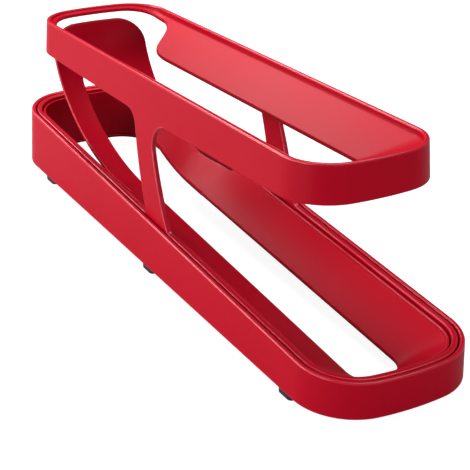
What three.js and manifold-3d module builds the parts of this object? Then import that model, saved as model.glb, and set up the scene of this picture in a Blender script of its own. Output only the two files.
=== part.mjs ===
import * as THREE from 'three';
import { mergeVertices } from 'three/addons/utils/BufferGeometryUtils.js';
import ManifoldModule from 'manifold-3d';

const wasm = await ManifoldModule();
wasm.setup();

// Two-tier rolling rack: a wedge-shaped base frame on six feet, a lower track with a curved
// turning chute nested in it, and a stand whose ring sits between the two and carries the
// upper track on two legs. Millimetres, X toward the low front end, Y across, Z up.
// Lengths along X start at the rear end of the frame and heights at its underside.
// The whole part is moved to the middle of its footprint at the end.

// Both tracks slope by the same angle
const rollAngle = THREE.MathUtils.degToRad(3.1);

// Base frame
const baseLength = 325;
const baseWidth = 80;
const baseCorner = 26.8;
const endRadius = 132;
const baseRearHeight = 31.5;
const baseFrontHeight = 16.7;
const baseFlare = 1;
const baseWall = 2.2;
const ledgeThickness = 1.8;
const edgeBevel = 0.5;

// Gaps between the nested mouldings
const sideGap = 0.8;
const restGap = 0.3;

// Stand ring
const ringWall = 2.7;
const ringTopDrop = 0.2;

// Lower track
const trackWall = 2;
const trackTopDrop = 1.7;
const trackLip = 0.9;
const slotHalfWidth = 12;
const slotFrontHalfWidth = 12.8;
const slotStartHeight = 12.9;
const slotFrontSetback = 24;
const slotEndLength = 8;
const sheetThickness = 2.2;
const slitStart = 125.5;
const slitWidth = 2.8;
const slitRun = 1.6;
const embed = 0.6;

// A slot's end is a superellipse: the larger this power, the squarer its corners
const slotEndPower = 2.6;

// Turning chute: an elliptical rise from the end of the trough to a round-cornered plate
const chuteBack = 21.6;
const chuteReach = 102.4;
const chuteRise = 67.5;
const chuteHalfWidth = 26.4;
const chuteCorner = 15;
const chuteSlotHalfWidth = 13.7;
const chuteSlotTop = 113;
const chuteDish = 5.6;
const chuteTopDish = 3.8;
const chuteTopHeight = 77.3;
const chuteBlend = 36;

// Upper track, measured in its own tilted plane
const upperRear = 15.6;
const upperRearHeight = 84.2;
const upperLength = 277;
const upperWidth = 68.6;
const upperCorner = 22.2;
const upperWallHeight = 17.2;
const upperWallBow = 1.8;
const upperFlare = 1.2;
const upperWall = 2.2;
const upperLip = 3;
const rearLip = 0.9;
const rearLedgeFall = 0.6;
const upperEdgeDrop = 14.3;
const upperSlotHalfWidth = 11.7;
const upperSlotSetback = 28;
const rearLedge = 2.6;
const rearWallHeight = 3.9;
const tailStart = 31;
const tailRun = 35;
const nearCut = 2;
const cutRun = 8;

// Shape of the tails: shares of the tail's run, then of its way in from the ledge to the slot
const tailShares = [
  [0, 0], [0.06, 0.01], [0.12, 0.04], [0.17, 0.07], [0.22, 0.11], [0.3, 0.2], [0.37, 0.32],
  [0.43, 0.46], [0.48, 0.6], [0.54, 0.75], [0.61, 0.85], [0.7, 0.92], [0.82, 0.97], [1, 1],
];

// Legs
const legTopRear = 139.6;
const legTopWidth = 16;
const legRearLean = THREE.MathUtils.degToRad(18.3);
const legFrontLean = THREE.MathUtils.degToRad(22.3);
const legThickness = 2.5;
const legRearFillet = 9;
const legFrontFillet = 11;
const legFlare = 1.5;
const legFlareHeight = 10;
const legRoot = 2;
const legInset = 0.05;

// Rubber feet
const footHeight = 3.8;
const footLength = 10.5;
const footWidth = 5;
const footInset = 2.6;
const footRearSetback = 44;
const footFrontSetback = 36.4;
const footSeatGap = 0.3;
const stemRadius = 1.1;
const stemLength = 1.2;
const stemClearance = 0.3;

// Fineness of the curved stretches
const cornerSteps = 10;
const endSteps = 4;
const flankSteps = 10;
const sheetRows = 5;
const armSteps = 14;
const plateSteps = 8;
const legRows = 6;
const legColumns = 6;
const footSteps = 8;
const arcSamples = 120;

const halfPi = Math.PI / 2;
const lerp = (a, b, t) => a + (b - a) * t;
const smooth = (t) => {
  const c = Math.min(Math.max(t, 0), 1);
  return c * c * (3 - 2 * c);
};
const rangeShares = (steps) => Array.from({ length: steps + 1 }, (_, i) => i / steps);

// Meshes and solids

function meshFromFaces(points, faces) {
  const geometry = new THREE.BufferGeometry();
  geometry.setAttribute('position', new THREE.Float32BufferAttribute(points.flat(), 3));
  geometry.setIndex(faces.flat());
  return geometry;
}

function toSolid(geometry) {
  const plain = geometry.clone();
  plain.deleteAttribute('normal');
  plain.deleteAttribute('uv');
  const merged = mergeVertices(plain);
  const mesh = new wasm.Mesh({
    numProp: 3,
    vertProperties: new Float32Array(merged.attributes.position.array),
    triVerts: new Uint32Array(merged.index.array),
  });
  return new wasm.Manifold(mesh);
}

function toGeometry(solid) {
  const mesh = solid.getMesh();
  const geometry = new THREE.BufferGeometry();
  const { numProp, vertProperties, triVerts } = mesh;
  const count = vertProperties.length / numProp;
  const positions = new Float32Array(count * 3);
  for (let i = 0; i < count; i += 1) {
    for (let k = 0; k < 3; k += 1) positions[i * 3 + k] = vertProperties[i * numProp + k];
  }
  geometry.setAttribute('position', new THREE.BufferAttribute(positions, 3));
  geometry.setIndex(Array.from(triVerts));
  geometry.computeVertexNormals();
  return geometry;
}

// A closed solid swept round a loop: sections[i] is the closed cross-section at station i.
function loopSolid(sections) {
  const size = sections[0].length;
  const faces = [];
  sections.forEach((_, i) => {
    const j = (i + 1) % sections.length;
    for (let k = 0; k < size; k += 1) {
      const m = (k + 1) % size;
      const a = i * size + k;
      const b = j * size + k;
      const c = j * size + m;
      const d = i * size + m;
      faces.push([a, b, c], [a, c, d]);
    }
  });
  return meshFromFaces(sections.flat(), faces);
}

// A sheet's section: over its top from the outer edge to the inner one, and back under it.
function sheetSection(pointAt) {
  const inward = rangeShares(sheetRows).reverse();
  return [
    ...inward.map((share) => pointAt(share, 0)),
    ...rangeShares(sheetRows).map((share) => pointAt(share, sheetThickness)),
  ];
}

// Outlines: a long shape with bulged ends. Each station knows its arc centre, radius and angle,
// so that an inset of any size keeps the same stations.

function roundEnds(length, width, corner) {
  const sideOffset = width / 2 - corner;
  const turn = Math.asin(sideOffset / (endRadius - corner));
  const cornerBack = endRadius - (endRadius - corner) * Math.cos(turn);
  const front = [];
  for (const share of rangeShares(cornerSteps)) {
    const angle = lerp(-halfPi, -turn, share);
    front.push({ x: length - cornerBack, y: -sideOffset, radius: corner, angle });
  }
  for (const share of rangeShares(endSteps).slice(1, -1)) {
    front.push({ x: length - endRadius, y: 0, radius: endRadius, angle: lerp(-turn, turn, share) });
  }
  for (const share of rangeShares(cornerSteps)) {
    const angle = lerp(turn, halfPi, share);
    front.push({ x: length - cornerBack, y: sideOffset, radius: corner, angle });
  }
  const rear = front.map((s) => ({ x: length - s.x, y: -s.y, radius: s.radius, angle: s.angle + Math.PI }));
  return { front, rear };
}

function insetPoint(station, inset) {
  const reach = station.radius - inset;
  return [station.x + reach * Math.cos(station.angle), station.y + reach * Math.sin(station.angle)];
}

// A station on a straight side, with the same form as those of the arcs.
const sideStation = (x, width, side) => ({ x, y: 0, radius: width / 2, angle: side * halfPi });

const baseEnds = roundEnds(baseLength, baseWidth, baseCorner);
const baseLoop = [...baseEnds.front, ...baseEnds.rear];
const frameTop = (x) => lerp(baseRearHeight, baseFrontHeight, x / baseLength);

// Insets of the nested walls from the outer face of the base frame
const ringOuter = baseWall + sideGap;
const ringInner = ringOuter + ringWall;
const rimOuter = ringInner + sideGap;
const rimInner = rimOuter + trackWall;
const restLevel = ledgeThickness + restGap;

function wallPoint(station, inset, level) {
  const [x, y] = insetPoint(station, inset);
  return [x, y, level(x)];
}

// A wall round the base outline, bevelled at its top edges. Its outer face may spread by a
// flare toward the floor; the faces inside stand upright, so that what nests there lifts out.
function wallSection(station, outer, inner, bottom, topDrop, flare = 0) {
  const at = (inset, level) => wallPoint(station, inset, level);
  const low = () => bottom;
  const top = (x) => frameTop(x) - topDrop;
  const shoulder = (x) => top(x) - edgeBevel;
  return [
    at(outer - flare, low), at(outer, shoulder), at(outer + edgeBevel, top),
    at(inner - edgeBevel, top), at(inner, shoulder), at(inner, low),
  ];
}

// Base frame: wall with an inward ledge that the other mouldings stand on

const stemBoreDepth = stemLength + stemClearance - footSeatGap;

function baseFrame() {
  const sections = baseLoop.map((station) => [
    ...wallSection(station, 0, baseWall, 0, 0, baseFlare).slice(0, -1),
    wallPoint(station, baseWall, () => ledgeThickness),
    wallPoint(station, rimInner, () => ledgeThickness),
    wallPoint(station, rimInner, () => 0),
  ]);
  let solid = toSolid(loopSolid(sections));
  for (const place of footPlaces()) {
    const bore = new THREE.CylinderGeometry(
      stemRadius + stemClearance, stemRadius + stemClearance, stemBoreDepth * 2, footSteps * 2);
    bore.rotateX(halfPi);
    bore.translate(place.x, place.y, 0);
    solid = solid.subtract(toSolid(bore));
  }
  return toGeometry(solid);
}

// Feet

function footPlaces() {
  const places = [];
  const rows = [
    ['rear', footRearSetback],
    ['middle', baseLength / 2],
    ['front', baseLength - footFrontSetback],
  ];
  for (const [row, x] of rows) {
    for (const [sideName, side] of [['left', 1], ['right', -1]]) {
      places.push({ name: `foot_${row}_${sideName}`, x, y: side * (baseWidth / 2 - footInset) });
    }
  }
  return places;
}

function foot() {
  const straight = footLength / 2 - footWidth / 2;
  const outline = new THREE.Shape();
  outline.absarc(straight, 0, footWidth / 2, -halfPi, halfPi, false);
  outline.absarc(-straight, 0, footWidth / 2, halfPi, halfPi * 3, false);
  outline.closePath();
  const pad = new THREE.ExtrudeGeometry(outline, {
    depth: footHeight - footSeatGap,
    bevelEnabled: false,
    curveSegments: footSteps,
  });
  pad.translate(0, 0, -footHeight);
  const stem = new THREE.CylinderGeometry(stemRadius, stemRadius, stemLength * 2, footSteps * 2);
  stem.rotateX(halfPi);
  stem.translate(0, 0, -footSeatGap);
  return toGeometry(toSolid(pad).add(toSolid(stem)));
}

// Lower track: rim, trough with a long slot, and chute, worked out along one centre line.
// A place on the chute is a run, 0 where the slits begin and growing up the chute, and a y.

const rimHalfWidth = baseWidth / 2 - rimInner;
const rollSlope = Math.tan(rollAngle);
const slotEdge = (x) => slotStartHeight - (x - slitStart) * rollSlope;
const chuteStartAngle = Math.atan((rollSlope * chuteReach) / chuteRise);
const chuteCentreX = chuteBack + chuteReach;
const chuteStartX = chuteCentreX - chuteReach * Math.sin(chuteStartAngle);
const chuteCentreZ = slotEdge(chuteStartX) + chuteRise * Math.cos(chuteStartAngle);

const ellipsePoint = (angle) => [
  chuteCentreX - chuteReach * Math.sin(angle),
  chuteCentreZ - chuteRise * Math.cos(angle),
];

const chuteEndAngle = Math.acos((chuteCentreZ - chuteTopHeight) / chuteRise);
const chuteArc = rangeShares(arcSamples).map((share) => {
  const angle = lerp(chuteStartAngle, chuteEndAngle, share);
  return { angle, point: ellipsePoint(angle), run: 0 };
});
const straightRun = slitStart - chuteStartX;
chuteArc.forEach((sample, i) => {
  if (i === 0) sample.run = straightRun;
  else {
    const [x, z] = chuteArc[i - 1].point;
    sample.run = chuteArc[i - 1].run + Math.hypot(sample.point[0] - x, sample.point[1] - z);
  }
});
const chuteRun = chuteArc[arcSamples].run;

function centreLine(run) {
  const x = slitStart - run;
  const level = { point: [x, slotEdge(x)], normal: [0, 1] };
  if (run <= straightRun) return level;
  const next = Math.max(chuteArc.findIndex((sample) => sample.run >= run), 1);
  const after = next > 0 && chuteArc[next] ? chuteArc[next] : chuteArc[arcSamples];
  const before = chuteArc[chuteArc.indexOf(after) - 1];
  const share = Math.min((run - before.run) / (after.run - before.run), 1);
  const angle = lerp(before.angle, after.angle, share);
  const normal = new THREE.Vector2(Math.sin(angle) / chuteReach, Math.cos(angle) / chuteRise).normalize();
  const turned = new THREE.Vector2(0, 1).lerp(normal, smooth((run - straightRun) / chuteBlend)).normalize();
  return { point: ellipsePoint(angle), normal: [turned.x, turned.y] };
}

const armRootHalfWidth = rimHalfWidth - slitWidth;
const wallRise = (x) => frameTop(x) - trackTopDrop - trackLip - slotEdge(x);
const rootRise = (wallRise(slitStart) * (armRootHalfWidth - slotHalfWidth)) / (rimHalfWidth - slotHalfWidth);
const armShare = (run) => smooth(run / chuteBlend);
const armHalfWidth = (run) => lerp(armRootHalfWidth, chuteHalfWidth, armShare(run));
const armSlot = (run) => lerp(slotHalfWidth, chuteSlotHalfWidth, armShare(run));
const plateDish = (run) => lerp(chuteDish, chuteTopDish, smooth(run / chuteRun));
const armDish = (run) => lerp(rootRise, plateDish(run), armShare(run));

function chutePoint(run, y, depth) {
  const { point, normal } = centreLine(run);
  const inner = armSlot(run);
  const outer = armHalfWidth(run);
  const flat = (Math.abs(y) - inner) / (outer - inner);
  const bowl = (y * y - inner * inner) / (outer * outer - inner * inner);
  const rise = armDish(run) * lerp(flat, bowl, armShare(run)) - depth;
  return [point[0] + normal[0] * rise, y, point[1] + normal[1] * rise];
}

function troughPoint(inner, outer, share, depth) {
  const x = lerp(inner[0], outer[0], share);
  const y = lerp(inner[1], outer[1], share);
  const z = lerp(inner[2], outer[2], share);
  return [x, y, z - depth];
}

// A place on a slot's round end: share 0 on its near side, 1 on its far side.
function slotEnd(front, halfWidth, share) {
  const angle = lerp(-halfPi, halfPi, share);
  const along = Math.abs(Math.cos(angle)) ** (2 / slotEndPower);
  const across = Math.abs(Math.sin(angle)) ** (2 / slotEndPower);
  return [front - slotEndLength * (1 - along), Math.sign(angle) * halfWidth * across];
}

// The trough's stations run from the near slit round the front of the slot to the far slit.
function troughStations() {
  const inset = rimInner - embed;
  const outerAt = (station) => wallPoint(station, inset, (x) => frameTop(x) - trackTopDrop - trackLip);
  const count = baseEnds.front.length - 1;
  const middle = baseEnds.front.map((station, i) => {
    const [x, y] = slotEnd(baseLength - slotFrontSetback, slotFrontHalfWidth, i / count);
    return { inner: [x, y, slotEdge(x)], outer: outerAt(station) };
  });
  const end = (side) => ({
    inner: [slitStart, side * slotHalfWidth, slotEdge(slitStart)],
    outer: outerAt(sideStation(slitStart, baseWidth, side)),
  });
  return [end(-1), ...middle, end(1)];
}

// The chute's stations go up one arm, over the plate and down the other arm.
function chuteStations() {
  const slotArcStart = chuteSlotTop - chuteSlotHalfWidth;
  const cornerStart = chuteRun - chuteCorner;
  const arm = rangeShares(armSteps).map((share) => {
    const innerRun = lerp(slitRun, slotArcStart, share);
    const outerRun = lerp(slitRun, cornerStart, share);
    return {
      inner: [innerRun, armSlot(innerRun)],
      outer: [outerRun, armHalfWidth(outerRun)],
    };
  });
  const plate = rangeShares(plateSteps).slice(1).map((share) => {
    const inner = lerp(0, halfPi, share);
    const cornerShare = Math.min(share * 2, 1);
    const acrossShare = Math.max(share * 2 - 1, 0);
    const turn = lerp(0, halfPi, cornerShare);
    const corner = [
      cornerStart + chuteCorner * Math.sin(turn),
      chuteHalfWidth - chuteCorner + chuteCorner * Math.cos(turn),
    ];
    return {
      inner: [slotArcStart + chuteSlotHalfWidth * Math.sin(inner), chuteSlotHalfWidth * Math.cos(inner)],
      outer: [corner[0], corner[1] * (1 - acrossShare)],
    };
  });
  const far = [...arm, ...plate];
  const mirrored = far.slice(0, -1).reverse().map(({ inner, outer }) => ({
    inner: [inner[0], -inner[1]],
    outer: [outer[0], -outer[1]],
  }));
  return [...far, ...mirrored];
}

function lowerTrack() {
  const trough = troughStations().map(({ inner, outer }) => sheetSection(
    (share, depth) => troughPoint(inner, outer, share, depth)));
  const chute = chuteStations().map(({ inner, outer }) => sheetSection((share, depth) => chutePoint(
    lerp(inner[0], outer[0], share), lerp(inner[1], outer[1], share), depth)));
  const sheet = toSolid(loopSolid([...trough, ...chute]));
  const rim = toSolid(loopSolid(baseLoop.map((station) => wallSection(
    station, rimOuter, rimInner, restLevel, trackTopDrop))));
  return toGeometry(rim.add(sheet));
}

// Upper track, in its own plane: x from its rear end, z down from its top edge

const upperEnds = roundEnds(upperLength, upperWidth, upperCorner);
const upperInnerHalf = upperWidth / 2 - upperWall;
const flangeReach = upperInnerHalf - upperSlotHalfWidth;

const ledgeHalfWidth = upperInnerHalf - rearLedge;

// Round the track from the near side of the front, with the slot's edge beside each place:
// a round slot front, S-shaped tails behind its sides and a narrow ledge round the rear.
function upperStations() {
  const count = upperEnds.front.length - 1;
  const front = upperEnds.front.map((station, i) => (
    { station, edge: slotEnd(upperLength - upperSlotSetback, upperSlotHalfWidth, i / count) }));
  const tail = (side) => tailShares.map(([along, across]) => {
    const x = tailStart + tailRun * along;
    const y = lerp(ledgeHalfWidth, upperSlotHalfWidth, across);
    return { station: sideStation(x, upperWidth, side), edge: [x, side * y] };
  });
  const sideEnd = front[0].edge[0];
  const flank = (side) => rangeShares(flankSteps).slice(1, -1).map((share) => {
    const x = lerp(tailStart + tailRun, sideEnd, share);
    return { station: sideStation(x, upperWidth, side), edge: [x, side * upperSlotHalfWidth] };
  });
  const ledge = (station) => ({ station, edge: insetPoint(station, upperWall + rearLedge) });
  const rear = upperEnds.rear.map(ledge);
  return [...front, ...flank(1).reverse(), ...tail(1).reverse(), ...rear, ...tail(-1), ...flank(-1)];
}

// The wall's lower edge bows down in the middle of the track, where the legs join it.
const sideWallHeight = (x) => upperWallHeight + upperWallBow * Math.sin((Math.PI * x) / upperLength);

function upperWallDepth([x, y]) {
  const start = y > 0 ? tailStart : nearCut;
  return lerp(rearWallHeight, sideWallHeight(x), smooth((x - start) / cutRun));
}

// Wall and flange in one section: up the outside, over the top, down to the slot's edge and back
function upperSection({ station, edge }) {
  const depth = upperWallDepth(insetPoint(station, 0));
  const upperSpread = (drop) => (upperFlare * drop) / upperWallHeight;
  const at = (inset, drop) => [...insetPoint(station, inset - upperSpread(drop)), -drop];
  const root = insetPoint(station, upperWall - upperSpread(upperLip));
  const reach = Math.min(Math.hypot(root[0] - edge[0], root[1] - edge[1]), flangeReach);
  const rearShare = 1 - smooth(root[0] / tailStart);
  const lip = lerp(upperLip, rearLip, rearShare);
  const fall = lerp((reach / flangeReach) * (upperEdgeDrop - upperLip), rearLedgeFall, rearShare);
  const flange = sheetSection((share, depthBelow) => [
    lerp(edge[0], root[0], share),
    lerp(edge[1], root[1], share),
    -(lip + fall * (1 - share)) - depthBelow,
  ]);
  return [
    at(0, depth), at(0, edgeBevel), at(edgeBevel, 0),
    at(upperWall - edgeBevel, 0), at(upperWall, edgeBevel), ...flange, at(upperWall, depth),
  ];
}

function upperTrack() {
  const tilt = new THREE.Matrix4().makeRotationY(-rollAngle);
  const place = new THREE.Matrix4().makeTranslation(upperRear, 0, upperRearHeight).multiply(tilt);
  return toSolid(loopSolid(upperStations().map(upperSection)).applyMatrix4(place));
}

// Stand: ring, two legs and the upper track in one moulding

const trackBottom = (x) => (
  upperRearHeight + (x - upperRear) * rollSlope - sideWallHeight(x - upperRear) / Math.cos(rollAngle));
const ringTop = (x) => frameTop(x) - ringTopDrop;

// One edge of a leg from its root in the ring up into the upper wall: side -1 rear, 1 front.
// The edge leans in a straight line, and an arc leads it into the wall's lower edge.
function legEdge(side) {
  const lean = side > 0 ? legFrontLean : legRearLean;
  const radius = side > 0 ? legFrontFillet : legRearFillet;
  const topX = legTopRear + (side > 0 ? legTopWidth : 0);
  const topZ = trackBottom(topX);
  const line = (z) => topX - (z - topZ) * Math.tan(lean);
  const corner = new THREE.Vector2(topX, topZ);
  const downLeg = new THREE.Vector2(Math.sin(lean), -Math.cos(lean));
  const alongWall = new THREE.Vector2(Math.cos(rollAngle), Math.sin(rollAngle)).multiplyScalar(side);
  const halfOpening = Math.acos(downLeg.dot(alongWall)) / 2;
  const arcStart = corner.clone().addScaledVector(downLeg, radius / Math.tan(halfOpening));
  const towardCentre = downLeg.clone().add(alongWall).normalize();
  const centre = corner.clone().addScaledVector(towardCentre, radius / Math.sin(halfOpening));
  const footZ = ringTop(topX);
  const flare = (z) => {
    const share = Math.max(1 - (z - footZ) / legFlareHeight, 0);
    return side > 0 ? legFlare * Math.min(share * share, 1) : 0;
  };
  const points = [[line(footZ - legRoot) + flare(footZ), footZ - legRoot]];
  for (const share of rangeShares(legRows)) {
    const z = lerp(footZ, footZ + legFlareHeight, share);
    points.push([line(z) + flare(z), z]);
  }
  for (const share of rangeShares(legRows)) {
    const turn = -side * (Math.PI - 2 * halfOpening) * share;
    points.push(arcStart.clone().rotateAround(centre, turn).toArray());
  }
  const [lastX, lastZ] = points[points.length - 1];
  points.push([lastX, lastZ + legRoot]);
  return points;
}

function leg(side) {
  const rear = legEdge(-1);
  const front = legEdge(1);
  const ringHalf = baseWidth / 2 - ringOuter;
  const upperHalf = upperWidth / 2 + upperFlare * (1 - legRoot / upperWallHeight);
  const outerY = (x, z) => {
    const span = trackBottom(x) - ringTop(x);
    const face = lerp(ringHalf, upperHalf, smooth((z - ringTop(x)) / span));
    return face - legInset;
  };
  const sections = [];
  rear.forEach((start, i) => {
    const end = front[i];
    const face = (depth) => rangeShares(legColumns).map((share) => {
      const x = lerp(start[0], end[0], share);
      const z = lerp(start[1], end[1], share);
      return [x, side * (outerY(x, z) - depth), z];
    });
    sections.push([...face(0), ...face(legThickness).reverse()]);
  });
  const size = sections[0].length;
  const faces = [];
  for (let i = 0; i + 1 < sections.length; i += 1) {
    for (let k = 0; k < size; k += 1) {
      const m = (k + 1) % size;
      const [a, b, c, d] = [i * size + k, i * size + m, (i + 1) * size + m, (i + 1) * size + k];
      faces.push([a, b, c], [a, c, d]);
    }
  }
  const cap = (row, flip) => {
    for (let k = 0; k < legColumns; k += 1) {
      const [a, b] = [row * size + k, row * size + k + 1];
      const [c, d] = [row * size + size - 2 - k, row * size + size - 1 - k];
      const quad = flip ? [[a, c, b], [a, d, c]] : [[a, b, c], [a, c, d]];
      faces.push(...quad);
    }
  };
  cap(0, true);
  cap(sections.length - 1, false);
  const outward = side < 0 ? faces : faces.map(([a, b, c]) => [a, c, b]);
  return toSolid(meshFromFaces(sections.flat(), outward));
}

function stand() {
  const ring = toSolid(loopSolid(baseLoop.map((station) => wallSection(
    station, ringOuter, ringInner, restLevel, ringTopDrop))));
  return toGeometry(ring.add(upperTrack()).add(leg(-1)).add(leg(1)));
}

// Materials

const red = new THREE.MeshStandardMaterial({ color: 0xb3141f, roughness: 0.36, metalness: 0 });
const black = new THREE.MeshStandardMaterial({ color: 0x141414, roughness: 0.7, metalness: 0 });

const rack = new THREE.Group();
rack.position.set(-baseLength / 2, 0, footHeight);

function addPiece(name, geometry, material, x = 0, y = 0) {
  const mesh = new THREE.Mesh(geometry, material);
  mesh.name = name;
  mesh.position.set(x, y, 0);
  rack.add(mesh);
}

addPiece('base_frame', baseFrame(), red);
addPiece('lower_track', lowerTrack(), red);
addPiece('stand', stand(), red);
for (const { name, x, y } of footPlaces()) addPiece(name, foot(), black, x, y);

export default rack;
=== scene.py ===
import bmesh
import bpy
import numpy as np
from mathutils import Matrix, Vector


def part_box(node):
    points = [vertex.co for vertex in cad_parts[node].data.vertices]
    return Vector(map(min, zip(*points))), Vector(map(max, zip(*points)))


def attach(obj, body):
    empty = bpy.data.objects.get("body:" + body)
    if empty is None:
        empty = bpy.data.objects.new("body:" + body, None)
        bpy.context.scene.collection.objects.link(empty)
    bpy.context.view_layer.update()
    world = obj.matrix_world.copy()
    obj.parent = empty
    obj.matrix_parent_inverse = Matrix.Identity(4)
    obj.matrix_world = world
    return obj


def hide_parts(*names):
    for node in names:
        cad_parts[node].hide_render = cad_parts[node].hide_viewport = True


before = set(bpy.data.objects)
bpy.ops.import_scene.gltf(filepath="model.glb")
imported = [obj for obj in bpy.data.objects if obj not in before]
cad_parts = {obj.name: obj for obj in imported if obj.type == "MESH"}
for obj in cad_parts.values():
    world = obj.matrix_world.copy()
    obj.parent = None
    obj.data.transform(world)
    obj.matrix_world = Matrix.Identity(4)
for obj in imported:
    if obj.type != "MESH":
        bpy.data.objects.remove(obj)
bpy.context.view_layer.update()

# Shapes are worked out in millimetres: x from the rear end of the base frame toward its low
# front end, y across, z from the frame's underside. makePiece puts them where the frame is.

rack = {
    "length": 325.0,               # the base frame's outline, which the nested walls follow
    "width": 80.0,
    "corner": 26.8,
    "endRadius": 132.0,            # the slight bulge of every end
    "rollAngle": np.radians(3.1),  # both tracks slope by this
    "restLevel": 2.1,              # where the nested walls stand
    "cornerSteps": 30,             # fineness of the outlines
    "endSteps": 12,
    "roundSteps": 4,               # fineness of a rounded edge
    "roundLimit": 0.42,            # the most of a short flat that a round takes
    "roundLead": 0.25,             # from a round to the next place on the flat beside it,
    "leadShare": 0.06,             # or this share of a short flat
    "mergeGap": 0.002,
}
millimetre = 0.001
roundRows = rack["roundSteps"] + 3  # the round, its ends, and a place on each flat beside it
rollSlope = np.tan(rack["rollAngle"])
rollCos, rollSin = np.cos(rack["rollAngle"]), np.sin(rack["rollAngle"])


def mix(a, b, t):
    return a + (b - a) * t


def ease(t):
    c = np.clip(t, 0, 1)
    return c * c * (3 - 2 * c)


# Even shares of a way, the start left out.
def shares(count):
    return np.linspace(0, 1, count + 1)[1:]


# An arc's stations: centre x and y, radius and angle, so that an inset only changes the radius.
def arcStations(x, y, radius, start, end, steps):
    angle = np.linspace(start, end, steps + 1)
    same = np.ones(steps + 1)
    return np.column_stack([x * same, y * same, radius * same, angle])


# The front end of an outline, near side to far side: a corner arc, the bulge and a corner arc.
def frontEnd(length, width, corner):
    bulge = rack["endRadius"]
    side = width / 2 - corner
    turn = np.arcsin(side / (bulge - corner))
    x = length - bulge + (bulge - corner) * np.cos(turn)
    square = np.pi / 2
    return np.concatenate([
        arcStations(x, -side, corner, -square, -turn, rack["cornerSteps"]),
        arcStations(length - bulge, 0, bulge, -turn, turn, rack["endSteps"])[1:-1],
        arcStations(x, side, corner, turn, square, rack["cornerSteps"]),
    ])


# The rear end is the front end turned half round.
def rearEnd(length, width, corner):
    return frontEnd(length, width, corner) * [-1, -1, 1, 1] + [length, 0, 0, np.pi]


# Stations of a straight side: an arc of half the width about the centre line, met square on.
def flank(places, width, side):
    same = np.ones(len(places))
    return np.column_stack([places, 0 * same, width / 2 * same, side * np.pi / 2 * same])


# A point at a distance inside the outline: centre plus (radius - inset) along the angle.
def insetPoints(stations, inset):
    reach = stations[:, 2] - inset
    return stations[:, :2] + reach[:, None] * np.column_stack(
        [np.cos(stations[:, 3]), np.sin(stations[:, 3])])


# A point of a nested wall: the outline at an inset, at a height that may depend on x.
def wallPoint(stations, inset, level):
    flat = insetPoints(stations, inset)
    height = level(flat[:, 0]) if callable(level) else np.full(len(flat), float(level))
    return np.column_stack([flat, height])


# A conic arc from A to B about the corner P: (A(1-s)^2 + 2wPs(1-s) + Bs^2) / (same weights).
# With w the sine of half the corner's angle it is a true arc, and with w 1 a parabola.
def conicArc(first, corner, last, weight, steps):
    s = np.linspace(0, 1, steps + 1)[:, None]
    w0, w1, w2 = (1 - s) ** 2, 2 * weight * s * (1 - s), s ** 2
    return (first * w0 + corner * w1 + last * w2) / (w0 + w1 + w2)


# Closed sections with each corner rounded to a true arc, and one more place on each flat
# beside it. Result: station, corner, place.
def roundCorners(corners, radii):
    before = np.roll(corners, 1, axis=1) - corners
    after = np.roll(corners, -1, axis=1) - corners
    longBefore = np.linalg.norm(before, axis=2, keepdims=True)
    longAfter = np.linalg.norm(after, axis=2, keepdims=True)
    before, after = before / longBefore, after / longAfter
    half = np.arccos(np.clip(np.sum(before * after, axis=2, keepdims=True), -1, 1)) / 2
    radii = np.broadcast_to(np.asarray(radii, float), corners.shape[:2])[:, :, None]
    limit = rack["roundLimit"] * np.minimum(longBefore, longAfter)
    reach = np.minimum(radii / np.tan(half), limit)
    first, last = corners + before * reach, corners + after * reach
    arc = conicArc(first[:, :, None], corners[:, :, None], last[:, :, None],
                   np.sin(half)[:, :, None], rack["roundSteps"])
    lead = first + before * np.minimum(rack["roundLead"], rack["leadShare"] * longBefore)
    trail = last + after * np.minimum(rack["roundLead"], rack["leadShare"] * longAfter)
    return np.concatenate([lead[:, :, None], arc, trail[:, :, None]], axis=2)


# Rounded sections as one grid, with count more rows on the flat after each corner named.
def sectionGrid(made, flats=(), count=0):
    share = np.arange(1, count + 1)[:, None] / (count + 1)
    parts = []
    for corner in range(made.shape[1]):
        parts.append(made[:, corner])
        if corner in flats:
            parts.append(mix(made[:, corner, -1:], made[:, corner + 1, :1], share))
    return np.concatenate(parts, axis=1)


# How much painted highlight and coat each row of such a grid gets, from one share for each corner.
def edgeRows(corners, flats=(), count=0):
    rows = []
    for corner, share in enumerate(corners):
        rows += [0] + [share] * (roundRows - 2) + [0]
        if corner in flats:
            rows += [0] * count
    return np.array([rows], float)


# Quads of a grid of points (columns, rows, 3): closed either way, with a mask of the strips kept.
def gridQuads(grid, closeColumns, closeRows, keep=None):
    columns, rows = grid.shape[:2]
    i, k = np.meshgrid(
        np.arange(columns if closeColumns else columns - 1),
        np.arange(rows if closeRows else rows - 1), indexing="ij")
    if keep is not None:
        i, k = i[keep], k[keep]
    j, m = (i + 1) % columns, (k + 1) % rows
    return np.column_stack([
        (i * rows + k).ravel(), (j * rows + k).ravel(),
        (j * rows + m).ravel(), (i * rows + m).ravel()])


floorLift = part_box("base_frame")[0][2]
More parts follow.
